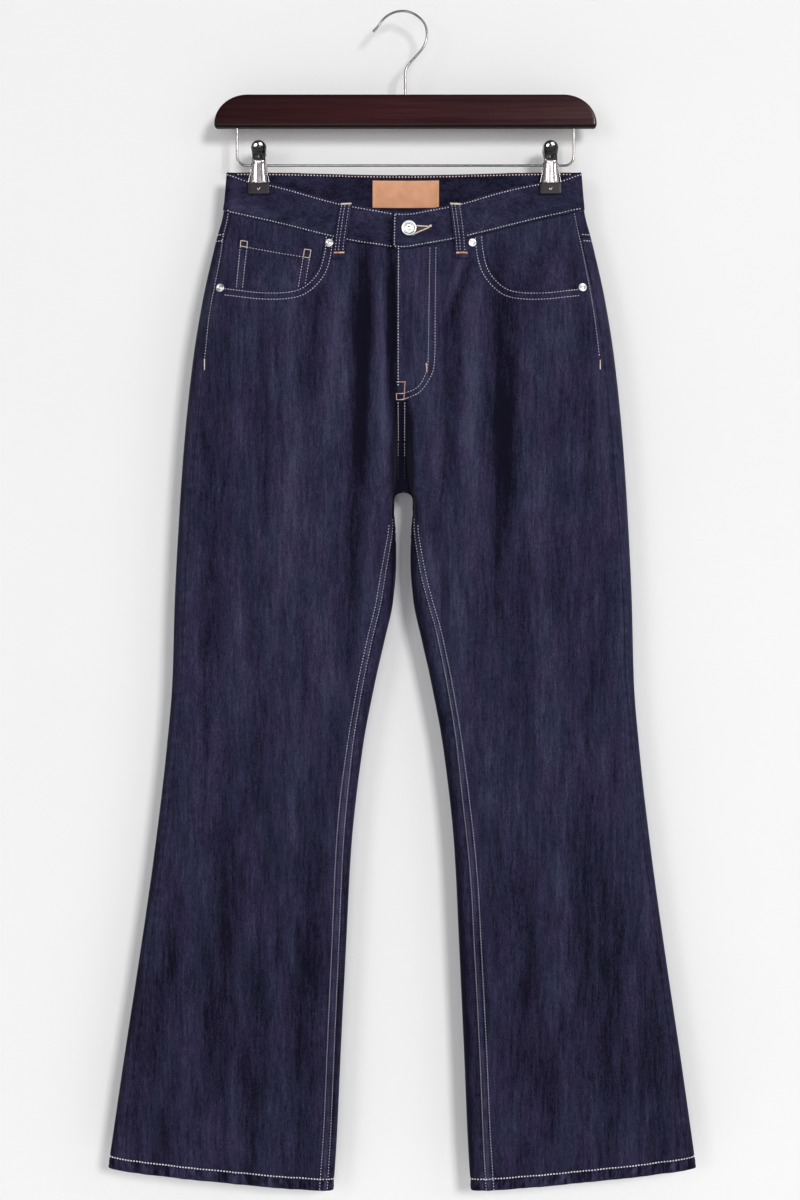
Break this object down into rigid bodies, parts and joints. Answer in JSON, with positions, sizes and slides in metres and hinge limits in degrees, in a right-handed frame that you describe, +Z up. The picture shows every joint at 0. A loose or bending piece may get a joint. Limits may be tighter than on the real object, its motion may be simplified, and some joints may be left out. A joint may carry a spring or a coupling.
{
  "type": "flared jeans on a clip hanger",
  "caption": "Dark flared five-pocket jeans with contrast topstitching, hung flat by the waistband from the sliding clips of a wooden bar hanger with a wire hook.",
  "frame": {"origin": "inside top of the hook, where the hanger rests on a rail", "axes": "+Z up, -Y out of the front of the jeans, +X to the right seen from the front"},
  "size_m": [0.6317, 0.0717, 1.2682],
  "materials": {
    "denim": "dark indigo twill with fine upright streaks, matte",
    "patch": "smooth tan patch, satin",
    "nickel": "polished nickel",
    "wood": "dark mahogany stain under gloss lacquer",
    "wire": "polished steel wire",
    "clip_metal": "polished pressed steel",
    "pad": "dark satin rubber"
  },
  "bodies": {
    "root": {"front_left": "denim", "front_right": "denim", "back_left": "denim", "back_right": "denim", "yoke_left": "denim", "yoke_right": "denim", "waistband": "denim", "facing_left": "denim", "facing_right": "denim", "coin_pocket": "denim", "back_pocket_left": "denim", "back_pocket_right": "denim", "loop_front_left": "denim", "loop_front_right": "denim", "loop_back_left": "denim", "loop_back_middle": "denim", "loop_back_right": "denim", "label": "patch", "button": "nickel", "rivet_left_outer": "nickel", "rivet_left_inner": "nickel", "rivet_right_inner": "nickel", "rivet_right_outer": "nickel", "hanger_bar": "wood", "hanger_hook": "wire", "hanger_rail": "wire", "clip_left_jaw_front": "clip_metal", "clip_left_pad_front": "pad", "clip_left_jaw_back": "clip_metal", "clip_left_pad_back": "pad", "clip_left_spring": "clip_metal", "clip_right_jaw_front": "clip_metal", "clip_right_pad_front": "pad", "clip_right_jaw_back": "clip_metal", "clip_right_pad_back": "pad", "clip_right_spring": "clip_metal"}
  },
  "joints": []
}
